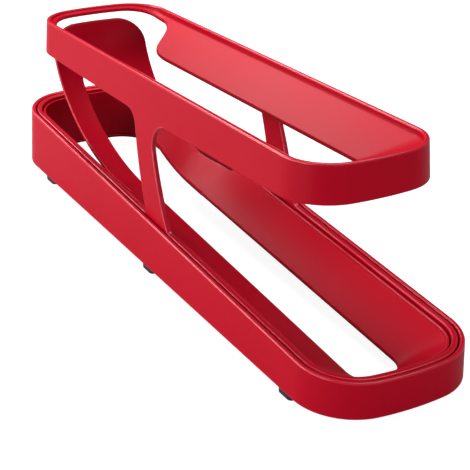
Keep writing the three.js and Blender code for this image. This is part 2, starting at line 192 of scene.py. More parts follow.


# One mesh from several grids: points that no quad uses go, shared points are merged, and the
# faces turned outward. Each grid is (points, quads, edge), edge being the share, up to 1 on
# rounded edges, of the painted highlight and coat that the edges get.
def makePiece(name, grids, body, material):
    points = np.concatenate([g[0].reshape(-1, 3) for g in grids])
    edge = np.concatenate([np.broadcast_to(g[2], g[0].shape[:2]).ravel() for g in grids])
    starts = np.cumsum([0] + [g[0].size // 3 for g in grids])
    faces = np.concatenate([g[1] + start for g, start in zip(grids, starts)])
    placed = (points - [rack["length"] / 2, 0, 0]) * millimetre + [0, 0, floorLift]
    mesh = bpy.data.meshes.new(name)
    mesh.from_pydata(placed, [], faces)
    values = mesh.attributes.new("edge", "FLOAT", "POINT").data
    values.foreach_set("value", edge.astype(np.float32))
    work = bmesh.new()
    work.from_mesh(mesh)
    loose = [v for v in work.verts if not v.link_faces]
    bmesh.ops.delete(work, geom=loose, context="VERTS")
    bmesh.ops.remove_doubles(work, verts=work.verts, dist=rack["mergeGap"] * millimetre)
    bmesh.ops.recalc_face_normals(work, faces=work.faces)
    openEdges = sum(1 for e in work.edges if not e.is_manifold)
    work.to_mesh(mesh)
    work.free()
    mesh.shade_smooth()
    mesh.materials.append(material)
    piece = bpy.data.objects.new(name, mesh)
    bpy.context.scene.collection.objects.link(piece)
    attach(piece, body)
    print(name, len(mesh.vertices), "points", len(mesh.polygons), "faces", openEdges, "open edges")
    return piece


# Base frame: a band with an inward ledge at its foot, its outer face spreading toward the floor

baseFrame = {
    "rearHeight": 31.5,
    "frontHeight": 16.7,
    "flare": 1.0,
    "wall": 2.2,
    "ledge": 1.8,
    "ledgeReach": 7.8,  # from the outer face: as far in as the lower track's rim
    "topRound": 0.7,
    "footRound": 0.45,
    "flankSteps": 24,
}
baseFront = frontEnd(rack["length"], rack["width"], rack["corner"])
baseRear = rearEnd(rack["length"], rack["width"], rack["corner"])
straightStart = baseRear[0, 0]
straightEnd = baseFront[0, 0]


# The frame's top edge: straight down from the rear height to the front height.
def frameTop(x):
    return mix(baseFrame["rearHeight"], baseFrame["frontHeight"], x / rack["length"])


# The whole outline, with the straight sides' places given.
def baseLoop(places):
    return np.concatenate([
        baseFront, flank(places[::-1], rack["width"], 1),
        baseRear, flank(places, rack["width"], -1)])


def makeBaseFrame(material):
    size = baseFrame
    loop = baseLoop(np.linspace(straightStart, straightEnd, size["flankSteps"] + 1)[1:-1])
    corners = np.stack([
        wallPoint(loop, -size["flare"], 0),
        wallPoint(loop, 0, frameTop),
        wallPoint(loop, size["wall"], frameTop),
        wallPoint(loop, size["wall"], size["ledge"]),
        wallPoint(loop, size["ledgeReach"], size["ledge"]),
        wallPoint(loop, size["ledgeReach"], 0),
    ], axis=1)
    foot, top = size["footRound"], size["topRound"]
    grid = sectionGrid(roundCorners(corners, [foot, top, top, foot, foot, foot]))
    edge = edgeRows([1, 1, 1, 0, 1, 1])
    quads = gridQuads(grid, True, True)
    piece = makePiece("band", [(grid, quads, edge)], "base", material)
    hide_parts("base_frame")


# Lower track: a rim, a trough that slopes to a long slot, and a chute that turns the eggs round

lowerTrack = {
    "outer": 6.5,         # inset of the rim's outer face
    "wall": 1.3,
    "topDrop": 1.7,
    "lip": 0.9,
    "embed": 0.6,
    "slotHalfWidth": 11.3,
    "slotFrontHalfWidth": 12.1,
    "slotHeight": 12.9,   # of its edge where the slits start
    "slotSetback": 21.0,
    "slotEndLength": 10.5,
    "slotPower": 2.5,     # squareness of both tracks' slot ends
    "thickness": 2.2,
    "slitStart": 125.5,
    "slitWidth": 2.8,
    "slitRun": 1.8,
    "chuteBack": 21.6,
    "chuteReach": 96.4,
    "chuteRise": 67.5,
    "halfWidth": 27.8,
    "corner": 15.0,
    "chuteSlotHalfWidth": 13.2,
    "chuteSlotTop": 113.0,
    "dish": 5.6,
    "topDish": 3.8,
    "topHeight": 77.3,
    "blend": 36.0,        # run over which the arms take the plate's width
    "slotBlend": 100.0,   # and over which the slot does
    "rimRound": 0.4,
    "edgeRound": 0.7,
    "rootRound": 0.6,
    "chuteEdge": 0.5,     # how much of the other edges' painted highlight and coat the chute's outer edges get
    "rimBand": 4.4,       # below the lip: the next row on the rim's inner face
    "sheetRows": 6,
    "sheetFlats": (3, 5),  # the sheet's top and underside, in the trough's section,
    "chuteFlats": (0, 2),  # and in the chute's
    "flankSteps": 20,
    "slitSteps": 6,
    "armSteps": 64,
    "plateSteps": 40,
    "lineSteps": 600,
}
rimInner = lowerTrack["outer"] + lowerTrack["wall"]
rimHalf = rack["width"] / 2 - rimInner
armRoot = rimHalf - lowerTrack["slitWidth"]


# Heights at x: the rim's top edge, the foot of its lip, and the slot's edge, which falls by
# the roll slope from where the slits start.
def rimTop(x):
    return frameTop(x) - lowerTrack["topDrop"]


def lipFoot(x):
    return rimTop(x) - lowerTrack["lip"]


def slotEdge(x):
    return lowerTrack["slotHeight"] - (x - lowerTrack["slitStart"]) * rollSlope


# How far the sheet rises from the slot to the arm's outer edge, where the slits start.
def riseAtRoot():
    size = lowerTrack
    wallRise = lipFoot(size["slitStart"]) - slotEdge(size["slitStart"])
    wallReach = rimHalf + size["embed"] - size["slotHalfWidth"]
    return wallRise * (armRoot - size["slotHalfWidth"]) / wallReach


# The chute's centre line: straight on from the trough, then round an ellipse; worked out as a
# table of angle against run, the length travelled from where the slits start.
def traceChute():
    size = lowerTrack
    reach, rise = size["chuteReach"], size["chuteRise"]
    start = np.arctan(rollSlope * reach / rise)
    centreX = size["chuteBack"] + reach
    startX = centreX - reach * np.sin(start)
    centreZ = slotEdge(startX) + rise * np.cos(start)
    end = np.arccos((centreZ - size["topHeight"]) / rise)
    angle = np.linspace(start, end, size["lineSteps"])
    steps = np.hypot(reach * np.diff(np.sin(angle)), rise * np.diff(np.cos(angle)))
    straight = size["slitStart"] - startX
    run = straight + np.concatenate([[0], np.cumsum(steps)])
    return {"x": centreX, "z": centreZ, "straight": straight, "angle": angle, "run": run,
            "length": run[-1]}


rootRise = riseAtRoot()
chuteLine = traceChute()


# Half widths of the chute's opening and of its arms, eased from the root's to the plate's.
def armShare(run):
    return ease(run / lowerTrack["blend"])


def armSlot(run):
    size = lowerTrack
    share = ease(run / size["slotBlend"])
    return mix(size["slotHalfWidth"], size["chuteSlotHalfWidth"], share)


def armHalfWidth(run):
    return mix(armRoot, lowerTrack["halfWidth"], armShare(run))


# A point of the chute: the centre line at a run, moved along its normal by the dish's rise less
# the depth. The rise is straight across at the root and a parabola in y on the plate.
def chutePoint(run, y, depth):
    size, line = lowerTrack, chuteLine
    angle = np.interp(run, line["run"], line["angle"])
    level = run <= line["straight"]
    x = np.where(level, size["slitStart"] - run, line["x"] - size["chuteReach"] * np.sin(angle))
    z = np.where(level, slotEdge(x), line["z"] - size["chuteRise"] * np.cos(angle))
    across = np.stack([np.sin(angle) / size["chuteReach"], np.cos(angle) / size["chuteRise"]])
    across = across / np.linalg.norm(across, axis=0)
    turned = ease((run - line["straight"]) / size["blend"])
    normal = np.stack([across[0] * turned, mix(1, across[1], turned)])
    normal = normal / np.linalg.norm(normal, axis=0)
    inner, outer, share = armSlot(run), armHalfWidth(run), armShare(run)
    flat = (np.abs(y) - inner) / (outer - inner)
    bowl = (y * y - inner * inner) / (outer * outer - inner * inner)
    plate = mix(size["dish"], size["topDish"], ease(run / line["length"]))
    rise = mix(rootRise, plate, share) * mix(flat, bowl, share) - depth
    return np.stack([x + normal[0] * rise, y, z + normal[1] * rise], axis=-1)


# A slot's round end is a superellipse, from its near side to its far side.
def slotEnd(front, halfWidth, length, count):
    angle = np.linspace(-np.pi / 2, np.pi / 2, count)
    power = 2 / lowerTrack["slotPower"]
    along = np.abs(np.cos(angle)) ** power
    across = np.sign(angle) * np.abs(np.sin(angle)) ** power
    return np.column_stack([front - length * (1 - along), halfWidth * across])


# Stations of the chute, far side only: run and y of the inner and the outer edge. The slit's
# end is a quarter ellipse; the plate's corner is a quarter circle.
def chuteStations():
    size = lowerTrack
    corner, slot = size["corner"], size["chuteSlotHalfWidth"]
    turn = shares(size["slitSteps"]) * np.pi / 2
    slitRun = size["slitRun"] * (1 - np.cos(turn))
    slitOuter = np.column_stack([slitRun, rimHalf - size["slitWidth"] * np.sin(turn)])
    slotArc = size["chuteSlotTop"] - slot
    cornerStart = chuteLine["length"] - corner
    share = shares(size["armSteps"])
    armInner = np.concatenate([slitRun, mix(size["slitRun"], slotArc, share)])
    armOuter = mix(size["slitRun"], cornerStart, share)
    share = shares(size["plateSteps"])
    turn = share * np.pi / 2
    plateInner = np.column_stack([slotArc + slot * np.sin(turn), slot * np.cos(turn)])
    turn = np.minimum(share * 2, 1) * np.pi / 2
    across = 1 - np.maximum(share * 2 - 1, 0)
    plateOuter = np.column_stack([
        cornerStart + corner * np.sin(turn),
        (size["halfWidth"] - corner + corner * np.cos(turn)) * across])
    inner = np.concatenate([np.column_stack([armInner, armSlot(armInner)]), plateInner])
    outer = np.concatenate([
        slitOuter, np.column_stack([armOuter, armHalfWidth(armOuter)]), plateOuter])
    return inner, outer


# The trough: rim and sheet in one section, from the near slit round the front to the far one.
# The sheet is straight across, from the slot's edge to the foot of the rim's lip.
def troughGrid():
    size = lowerTrack
    slit, steps = size["slitStart"], size["flankSteps"]
    places = np.linspace(slit, straightEnd, steps + 1)[:-1]
    stations = np.concatenate([
        flank(places, rack["width"], -1), baseFront, flank(places[::-1], rack["width"], 1)])
    end = slotEnd(rack["length"] - size["slotSetback"], size["slotFrontHalfWidth"],
                  size["slotEndLength"], len(baseFront))
    share = np.arange(steps) / steps
    sideX = mix(slit, end[0, 0], share)
    sideY = mix(size["slotHalfWidth"], size["slotFrontHalfWidth"], share)
    inner = np.concatenate([
        np.column_stack([sideX, -sideY]), end, np.column_stack([sideX, sideY])[::-1]])
    inner = np.column_stack([inner, slotEdge(inner[:, 0])])
    hidden = wallPoint(stations, rimInner - size["embed"], lipFoot)
    root = wallPoint(stations, rimInner, lipFoot)
    reach = np.linalg.norm(root[:, :2] - inner[:, :2], axis=1)
    whole = np.linalg.norm(hidden[:, :2] - inner[:, :2], axis=1)
    root[:, 2] = mix(inner[:, 2], hidden[:, 2], reach / whole)
    under = [0, 0, size["thickness"]]
    corners = np.stack([
        wallPoint(stations, size["outer"], rack["restLevel"]),
        wallPoint(stations, size["outer"], rimTop),
        wallPoint(stations, rimInner, rimTop),
        root, inner, inner - under, root - under,
        wallPoint(stations, rimInner, rack["restLevel"]),
    ], axis=1)
    rim, edge, fillet = size["rimRound"], size["edgeRound"], size["rootRound"]
    made = roundCorners(corners, [rim, rim, rim, fillet, edge, edge, fillet, rim])
    return sectionGrid(made, size["sheetFlats"], size["sheetRows"])


# The rim behind the slits; its first and last sections are those of the trough, sheet left out.
def rimGrid(trough, sheetStart, sheetEnd):
    size = lowerTrack
    places = np.linspace(straightStart, size["slitStart"], size["flankSteps"] + 1)[1:-1]
    stations = np.concatenate([
        flank(places[::-1], rack["width"], 1), baseRear, flank(places, rack["width"], -1)])
    corners = np.stack([
        wallPoint(stations, size["outer"], rack["restLevel"]),
        wallPoint(stations, size["outer"], rimTop),
        wallPoint(stations, rimInner, rimTop),
        wallPoint(stations, rimInner, rack["restLevel"]),
    ], axis=1)
    made = sectionGrid(roundCorners(corners, size["rimRound"]))
    bandTop = wallPoint(stations, rimInner, lipFoot)[:, None]
    bandLow = bandTop - [0, 0, size["rimBand"]]
    rim = np.concatenate([made[:, :sheetStart], bandTop, bandLow, made[:, sheetStart:]], axis=1)
    picks = np.r_[0:sheetStart + 1, sheetEnd - 1:trough.shape[1]]
    return np.concatenate([trough[-1:, picks], rim, trough[:1, picks]])


# The chute, up the far arm, over the plate and down the near arm. A section is worked out as
# distance in from the outer edge and depth under the top.
def chuteGrid(trough, sheetStart, sheetEnd):
    size = lowerTrack
    inner, outer = chuteStations()
    length = np.linalg.norm(inner - outer, axis=1)
    inward = np.stack([0 * length, length, length, 0 * length], axis=1)
    depth = np.broadcast_to([0, 0, size["thickness"], size["thickness"]], inward.shape)
    made = roundCorners(np.stack([inward, depth], axis=2), size["edgeRound"])
    section = sectionGrid(made, size["chuteFlats"], size["sheetRows"])
    share = section[..., 0] / length[:, None]
    run = mix(outer[:, None, 0], inner[:, None, 0], share)
    y = mix(outer[:, None, 1], inner[:, None, 1], share)
    far = chutePoint(run, y, section[..., 1])
    near = far[:-1][::-1] * [1, -1, 1]
    sheet = slice(sheetStart, sheetEnd)
    return np.concatenate([trough[-1:, sheet], far, near, trough[:1, sheet]])


def makeLowerTrack(material):
    size = lowerTrack
    rows = size["sheetRows"]
    trough = troughGrid()
    # the first three corners and the last are the rim's, and the sheet's lie between
    sheetStart, sheetEnd = 3 * roundRows, trough.shape[1] - roundRows
    rim = rimGrid(trough, sheetStart, sheetEnd)
    chute = chuteGrid(trough, sheetStart, sheetEnd)
    troughEdge = edgeRows([0, 1, 1, 0, 0, 0, 0, 0], size["sheetFlats"], rows)
    chuteEdge = edgeRows([size["chuteEdge"], 0, 0, size["chuteEdge"]], size["chuteFlats"], rows)
    piece = makePiece("trough_and_chute", [
        (trough, gridQuads(trough, False, True), troughEdge),
        (rim, gridQuads(rim, False, True), 0),
        (chute, gridQuads(chute, False, True), chuteEdge),
    ], "lower", material)
    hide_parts("lower_track")


# Stand: a ring round the lower track, two legs and the upper track in one moulding

stand = {
    "ringOuter": 3.0,
    "ringWall": 2.7,
    "ringDrop": 0.2,
    "ringRound": 0.6,
    "rear": 15.6,           # the upper track's rear end, in the frame
    "rearHeight": 84.2,
    "length": 277.0,
    "width": 68.6,
    "corner": 22.2,
    "wallHeight": 17.2,
    "wallBow": 1.8,
    "flare": 1.2,
    "wall": 2.2,
    "lip": 3.0,
    "rearLip": 0.9,
    "ledgeFall": 0.6,
    "edgeDrop": 14.3,
    "slotHalfWidth": 10.9,
    "slotSetback": 28.0,
    "slotEndLength": 8.0,
    "ledge": 2.6,
    "rearWallHeight": 3.9,
    "tailStart": 31.0,
    "tailRun": 35.0,
    "nearCut": 2.0,
    "cutRun": 8.0,
    "sheet": 2.2,
    "topRound": 0.7,
    "footRound": 0.5,
    "rootRound": 1.3,
    "edgeRound": 0.9,
    "flankSteps": 16,
    "sheetRows": 3,
    "sheetFlats": (3, 5),   # the sheet's top and underside, in the section
    "tailRounds": 3,
    "tailShares": [         # along the tail, and across from the ledge to the slot
        (0, 0), (0.06, 0.01), (0.12, 0.04), (0.17, 0.07), (0.22, 0.11), (0.3, 0.2), (0.37, 0.32),
        (0.43, 0.46), (0.48, 0.6), (0.54, 0.75), (0.61, 0.85), (0.7, 0.92), (0.82, 0.97), (1, 1)],
}
leg = {
    "topRear": 140.6,
    "topWidth": 16.0,
    "rearLean": np.radians(18.3),
    "frontLean": np.radians(22.3),
    "rearFillet": 9.0,
    "frontFillet": 11.0,
    "footFillet": 1.6,
    "flare": 1.5,           # of the front edge, toward the ring
    "flareHeight": 10.0,
    "round": 0.55,
    "roundFlat": 4.0,       # how far the faces beside a rounded edge are worked out
    "columns": 24,
    "rows": 14,
    "footSteps": 6,
}


# The upper track's own plane, tilted by the roll angle: x along it, z up from its top edge.
def tilt(points):
    x, y, z = np.moveaxis(points, -1, 0)
    return np.stack([stand["rear"] + x * rollCos - z * rollSin, y,
                     stand["rearHeight"] + x * rollSin + z * rollCos], axis=-1)


def untilt(x, z):
    return (x - stand["rear"]) * rollCos + (z - stand["rearHeight"]) * rollSin


# The side wall's height, bowed by half a sine wave over the length.
def sideWallHeight(x):
    return stand["wallHeight"] + stand["wallBow"] * np.sin(np.pi * x / stand["length"])


# Heights in the frame: the ring's top edge, the upper track's top edge, and the lower edge of
# its wall at a place along the track.
def ringTop(x):
    return frameTop(x) - stand["ringDrop"]


def upperTop(x):
    return stand["rearHeight"] + (x - stand["rear"]) * rollSlope


def wallFoot(x, along):
    return upperTop(x) - sideWallHeight(along) / rollCos


# How far down the wall reaches: its full height, cut back to a low wall round the rear.
def upperWallDepth(flat):
    start = np.where(flat[:, 1] > 0, stand["tailStart"], stand["nearCut"])
    cut = ease((flat[:, 0] - start) / stand["cutRun"])
    return mix(stand["rearWallHeight"], sideWallHeight(flat[:, 0]), cut)


# A polyline's corners cut again and again at a quarter of each side, which leaves a curve.
def smoothLine(points, rounds):
    for _ in range(rounds):
        cut = [mix(points[:-1], points[1:], share) for share in (0.25, 0.75)]
        cut = np.stack(cut, axis=1).reshape(-1, points.shape[1])
        points = np.concatenate([points[:1], cut, points[-1:]])
    return points


# Sections of the upper track: outer face, top edge, flange down to the slot's edge and back.
# The flange falls straight from the wall to the slot, by as much as its reach allows.
def upperSections(stations, edge):
    size = stand
    depth = upperWallDepth(insetPoints(stations, 0))

    def spread(drop):
        return size["flare"] * drop / size["wallHeight"]

    def at(inset, drop):
        flat = insetPoints(stations, inset - spread(drop))
        return np.column_stack([flat, -drop * np.ones(len(flat))])

    root = insetPoints(stations, size["wall"] - spread(size["lip"]))
    flangeReach = size["width"] / 2 - size["wall"] - size["slotHalfWidth"]
    reach = np.minimum(np.linalg.norm(root - edge, axis=1), flangeReach)
    rearShare = 1 - ease(root[:, 0] / size["tailStart"])
    lip = mix(size["lip"], size["rearLip"], rearShare)
    flangeFall = reach / flangeReach * (size["edgeDrop"] - size["lip"])
    fall = mix(flangeFall, size["ledgeFall"], rearShare)
    rootTop = np.column_stack([root, -lip])
    edgeTop = np.column_stack([edge, -lip - fall])
    under = [0, 0, size["sheet"]]
    corners = np.stack([
        at(0, depth), at(0, 0), at(size["wall"], 0),
        rootTop, edgeTop, edgeTop - under, rootTop - under, at(size["wall"], depth)], axis=1)
    foot, top, fillet, slot = [size[k] for k in ("footRound", "topRound", "rootRound", "edgeRound")]
    made = roundCorners(corners, [foot, top, top, fillet, slot, slot, fillet, foot])
    return tilt(sectionGrid(made, size["sheetFlats"], size["sheetRows"]))


def ringSections(stations):
    size = stand
    inner = size["ringOuter"] + size["ringWall"]
    corners = np.stack([
        wallPoint(stations, size["ringOuter"], rack["restLevel"]),
        wallPoint(stations, size["ringOuter"], ringTop),
        wallPoint(stations, inner, ringTop),
        wallPoint(stations, inner, rack["restLevel"]),
    ], axis=1)
    return sectionGrid(roundCorners(corners, size["ringRound"]))


# One edge of a leg as points in x and z, from the ring's top edge up into the wall's lower
# edge: a small fillet, the flared foot, the leaning line and the arc into the wall.
def legEdge(side):
    front = side > 0
    lean = leg["frontLean"] if front else leg["rearLean"]
    radius = leg["frontFillet"] if front else leg["rearFillet"]
    flare = leg["flare"] if front else 0
    topX = leg["topRear"] + (leg["topWidth"] if front else 0)
    topZ = wallFoot(topX, topX - stand["rear"])
    footZ = ringTop(topX)

    def line(z):
        spread = np.clip(1 - (z - footZ) / leg["flareHeight"], 0, 1) ** 2
        return topX - (z - topZ) * np.tan(lean) + flare * spread

    downLeg = np.array([np.sin(lean), -np.cos(lean)])
    alongWall = side * np.array([rollCos, rollSin])
    half = np.arccos(downLeg @ alongWall) / 2
    corner = np.array([topX, topZ])
    arcStart = corner + downLeg * radius / np.tan(half)
    arcEnd = corner + alongWall * radius / np.tan(half)
    topArc = conicArc(arcStart, corner, arcEnd, np.sin(half), leg["rows"])
    z0 = ringTop(line(footZ))
    z1 = z0 + leg["footFillet"]
    foot = np.array([line(z0), z0])
    startX = foot[0] + side * leg["footFillet"]
    start = np.array([startX, ringTop(startX)])
    footArc = conicArc(start, foot, np.array([line(z1), z1]), 1, leg["footSteps"])
    z = np.linspace(z1, arcStart[1], leg["rows"] + 1)[1:-1]
    return np.concatenate([footArc, np.column_stack([line(z), z]), topArc])


rearEdge = legEdge(-1)
frontEdge = legEdge(1)
legRingX = np.linspace(rearEdge[0, 0], frontEdge[0, 0], leg["columns"])
legUpperX = np.linspace(untilt(*rearEdge[-1]), untilt(*frontEdge[-1]), leg["columns"])


# A leg's outer face and thickness at x and z: from the ring's up to the wall's, eased.
def legFace(x, z):
    low = ringTop(x)
    high = wallFoot(x, untilt(x, z))
    drop = (upperTop(x) - z) * rollCos
    share = ease((z - low) / (high - low))
    ring = rack["width"] / 2 - stand["ringOuter"]
    wall = stand["width"] / 2 + stand["flare"] * drop / stand["wallHeight"]
    return mix(ring, wall, share), mix(stand["ringWall"], stand["wall"], share)


# The directions square to an edge of a leg, into the leg.
def edgeNormals(path, side):
    step = np.gradient(path, axis=0)
    step = step / np.linalg.norm(step, axis=1, keepdims=True)
    return side * np.column_stack([-step[:, 1], step[:, 0]])


# A leg's grid: each row goes round it, along the outer face from rear to front, over the
# rounded front edge, back along the inner face and over the rear edge. The first row is the
# ring's and the last the upper wall's.
def legGrid(ringColumns, upperColumns):
    def goRound(outer, front, inner, rear):
        return np.concatenate([outer, front[:, 1:-1], inner[:, ::-1], rear[:, -2:0:-1]], axis=1)

    def endRow(profiles):
        return goRound(profiles[None, :, 0], profiles[-1:], profiles[None, :, -1], profiles[:1])

    thickness = legFace(*frontEdge[1:-1].T)[1]
    inward = np.stack([0 * thickness, 0 * thickness, thickness, thickness], axis=1)
    depth = np.broadcast_to([leg["roundFlat"], 0, 0, leg["roundFlat"]], inward.shape)
    made = sectionGrid(roundCorners(np.stack([inward, depth], axis=2), leg["round"])[:, 1:3])
    inward, depth = made[..., 0], made[..., 1:]

    def edgeAt(path, side):
        place = path[1:-1, None] + edgeNormals(path, side)[1:-1, None] * depth
        y = legFace(place[..., 0], place[..., 1])[0] - inward
        return np.stack([place[..., 0], y, place[..., 1]], axis=-1)

    rear, front = edgeAt(rearEdge, -1), edgeAt(frontEdge, 1)
    share = np.linspace(0, 1, leg["columns"])[:, None]
    outer = mix(rear[:, :1], front[:, :1], share)
    inner = mix(rear[:, -1:], front[:, -1:], share)
    outer[..., 1] = legFace(outer[..., 0], outer[..., 2])[0]
    inner[..., 1] = legFace(inner[..., 0], inner[..., 2])[0] - thickness[:, None]
    low = ringColumns[:, roundRows:3 * roundRows]
    high = np.concatenate([upperColumns[:, -roundRows:], upperColumns[:, :roundRows]], axis=1)
    grid = np.concatenate([endRow(low), goRound(outer, front, inner, rear), endRow(high[:, ::-1])])
    face, rounded = np.zeros(leg["columns"]), np.ones(2 * roundRows - 2)
    return grid, np.concatenate([face, rounded, face, rounded])[None]


# Quads of a closed grid, left open where the two legs join it.
def quadsWithOpenings(grid, starts, count, strips):
    keep = np.ones(grid.shape[:2], bool)
    for start in starts:
        for strip in strips:
            keep[start:start + count, strip] = False
    return gridQuads(grid, True, True, keep)


# The ring, with its top edge left open where the legs stand.
def ringPart():
    steps = stand["flankSteps"]
    behind = np.linspace(straightStart, legRingX[0], steps + 1)[1:-1]
    ahead = np.linspace(legRingX[-1], straightEnd, steps + 1)[1:-1]
    places = np.concatenate([behind, legRingX, ahead])
    grid = ringSections(baseLoop(places))
    farLeg = len(baseFront) + len(ahead)
    nearLeg = 2 * len(baseFront) + len(places) + len(behind)
    top = slice(roundRows, 3 * roundRows - 1)
    quads = quadsWithOpenings(grid, (farLeg, nearLeg), len(legRingX) - 1, (top,))
    return grid, quads, edgeRows([0, 1, 1, 0])


# The upper track, with the wall's lower edge left open over the legs. Beside the front's round
# the slot's edge is shorter than the wall, so its places are drawn in.
def upperPart():
    size = stand
    steps, slotHalf = size["flankSteps"], size["slotHalfWidth"]
    front = frontEnd(size["length"], size["width"], size["corner"])
    rear = rearEnd(size["length"], size["width"], size["corner"])
    slot = slotEnd(size["length"] - size["slotSetback"], slotHalf, size["slotEndLength"],
                   len(front))
    tail = smoothLine(np.array(size["tailShares"], float), size["tailRounds"])
    tailX = size["tailStart"] + size["tailRun"] * tail[:, 0]
    tailY = mix(size["width"] / 2 - size["wall"] - size["ledge"], slotHalf, tail[:, 1])
    behind = np.linspace(tailX[-1], legUpperX[0], steps + 1)[1:-1]
    ahead = np.linspace(legUpperX[-1], front[0, 0], 2 * steps + 1)[1:-1]
    sideX = np.concatenate([behind, legUpperX, ahead])
    share = (sideX - legUpperX[-1]) / (front[0, 0] - legUpperX[-1])
    slotX = np.where(share > 0, mix(legUpperX[-1], slot[0, 0], share), sideX)
    slotY = np.full(len(sideX), slotHalf)
    stations = np.concatenate([
        front, flank(sideX[::-1], size["width"], 1), flank(tailX[::-1], size["width"], 1),
        rear, flank(tailX, size["width"], -1), flank(sideX, size["width"], -1)])
    edge = np.concatenate([
        slot, np.column_stack([slotX, slotY])[::-1], np.column_stack([tailX, tailY])[::-1],
        insetPoints(rear, size["wall"] + size["ledge"]),
        np.column_stack([tailX, -tailY]), np.column_stack([slotX, -slotY])])
    grid = upperSections(stations, edge)
    farLeg = len(front) + len(ahead)
    nearLeg = len(stations) - len(sideX) + len(behind)
    foot = (slice(-roundRows, None), slice(0, roundRows - 1))
    quads = quadsWithOpenings(grid, (farLeg, nearLeg), len(legUpperX) - 1, foot)
    return grid, quads, edgeRows([0, 1, 1, 0, 0, 0, 0, 0], size["sheetFlats"], size["sheetRows"])


def makeStand(material):
    ringColumns = ringSections(flank(legRingX, rack["width"], 1))
    slotSide = np.column_stack([legUpperX, np.full(len(legUpperX), stand["slotHalfWidth"])])
    upperColumns = upperSections(flank(legUpperX, stand["width"], 1), slotSide)
    grid, marks = legGrid(ringColumns, upperColumns)
    quads = gridQuads(grid, False, True)
    legs = [(grid * [1, side, 1], quads, marks) for side in (1, -1)]
    piece = makePiece("ring_legs_and_upper_track", [ringPart(), upperPart()] + legs,
                      "upper", material)
    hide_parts("stand")


# Feet: a rounded pad, its profile carried round a long outline, with a stem on top

feet = {
    "height": 3.8,
    "length": 10.5,
    "width": 5.0,
    "inset": 2.6,
    "rearSetback": 44.0,
    "frontSetback": 36.4,
    "taper": 0.15,
    "round": 0.8,
    "topRound": 0.35,
    "seat": 0.06,
    "stemRadius": 1.1,
    "stemLength": 1.2,
    "stemDepth": 1.0,     # how far it reaches down into the pad
    "stemBevel": 0.2,
    "steps": 24,
}


def makeFoot(name, x, y, material):
    size = feet
    half = size["width"] / 2
    straight = size["length"] / 2 - half
    front = arcStations(straight, 0, half, -np.pi / 2, np.pi / 2, size["steps"])
    outline = np.concatenate([front, front * [-1, -1, 1, 1] + [0, 0, 0, np.pi]])
    profile = np.array([[
        [half, -size["height"]], [size["taper"], -size["height"]],
        [0, -size["seat"]], [half, -size["seat"]]]])
    made = roundCorners(profile, [0, size["round"], size["topRound"], 0])[0, 1:3].reshape(-1, 2)
    made = np.concatenate([profile[0, :1], made, profile[0, 3:]])
    pad = np.stack([wallPoint(outline, inset, z) for inset, z in made], axis=1)
    turn = np.linspace(0, 2 * np.pi, size["steps"], endpoint=False)
    circle = np.column_stack([0 * turn, 0 * turn, 0 * turn, turn])
    radius, low, high = size["stemRadius"], -size["stemDepth"], size["stemLength"]
    stemProfile = [(0, low), (radius, low), (radius, high - size["stemBevel"]),
                   (radius - size["stemBevel"], high), (0, high)]
    stem = np.stack([wallPoint(circle, -reach, z) for reach, z in stemProfile], axis=1)
    piece = makePiece(name + "_pad", [
        (pad + [x, y, 0], gridQuads(pad, True, False), 0),
        (stem + [x, y, 0], gridQuads(stem, True, False), 0),
    ], "base", material)
    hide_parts(name)


# Finishes

# A socket's value, so that + - * between sockets and numbers add Math nodes.
class Value:
    def __init__(self, finish, out):
        self.finish = finish
        self.out = out

    def maths(self, operation, first, second):
        return self.finish.node("ShaderNodeMath", {"operation": operation}, {0: first, 1: second})

    def __add__(self, other):
        return self.maths("ADD", self, other)

    def __sub__(self, other):
        return self.maths("SUBTRACT", self, other)

    def __rsub__(self, other):
        return self.maths("SUBTRACT", other, self)

    def __mul__(self, other):
        return self.maths("MULTIPLY", self, other)

    __radd__ = __add__
    __rmul__ = __mul__


# A material or world. node() adds one node, its settings first, then its sockets' values or
# links, and gives one of its outputs.
class Finish:
    def __init__(self, owner):
        owner.use_nodes = True
        self.owner = owner
        self.tree = owner.node_tree
        self.tree.nodes.clear()

    def node(self, kind, settings=None, inputs=None, output=0):
        made = self.tree.nodes.new(kind)
        for key, setting in (settings or {}).items():
            setattr(made, key, setting)
        for key, entry in (inputs or {}).items():
            if isinstance(entry, Value):
                self.tree.links.new(entry.out, made.inputs[key])
            else:
                made.inputs[key].default_value = entry
        if made.outputs:
            return Value(self, made.outputs[output])

    def noise(self, scale, detail, rough):
        place = self.node("ShaderNodeTexCoord", output="Object")
        return self.node("ShaderNodeTexNoise", None, {
            "Vector": place, "Scale": scale, "Detail": detail, "Roughness": rough}, "Fac")

    def blend(self, share, first, second):
        return self.node("ShaderNodeMix", {"data_type": "RGBA"}, {0: share, 6: first, 7: second}, 2)

    def ray(self, kind):
        return self.node("ShaderNodeLightPath", output=kind)


redPlastic = {
    "colour": (0.53, 0.003, 0.019, 1),
    "deepColour": (0.46, 0.002, 0.015, 1),
    # painted highlight: a lighter red laid on the rounded edges, and how much of it they get
    "edgeHighlightColour": (0.72, 0.02, 0.05, 1),
    "edgeHighlightShare": 0.6,
    "gloss": 0.1,
    "ior": 1.49,
    "edgePolish": 1.0,     # the rounded edges come out of the tool shinier than the walls
    "edgeRoughness": 0.2,
    "edgeSmoothing": 0.05,
    "roughness": 0.34,
    "roughnessSpread": 0.1,
    "cloud": (22.0, 3.0, 0.5),    # scale per metre, detail, roughness: patches a few cm wide
    "grain": (1400.0, 3.0, 0.6),  # the tool's fine texture
    "grainDepth": 0.00005,
    "grainStrength": 0.12,
    "wave": (60.0, 1.0, 0.5),     # the slight sink of moulded walls
    "waveDepth": 0.0004,
    "waveStrength": 0.06,
}


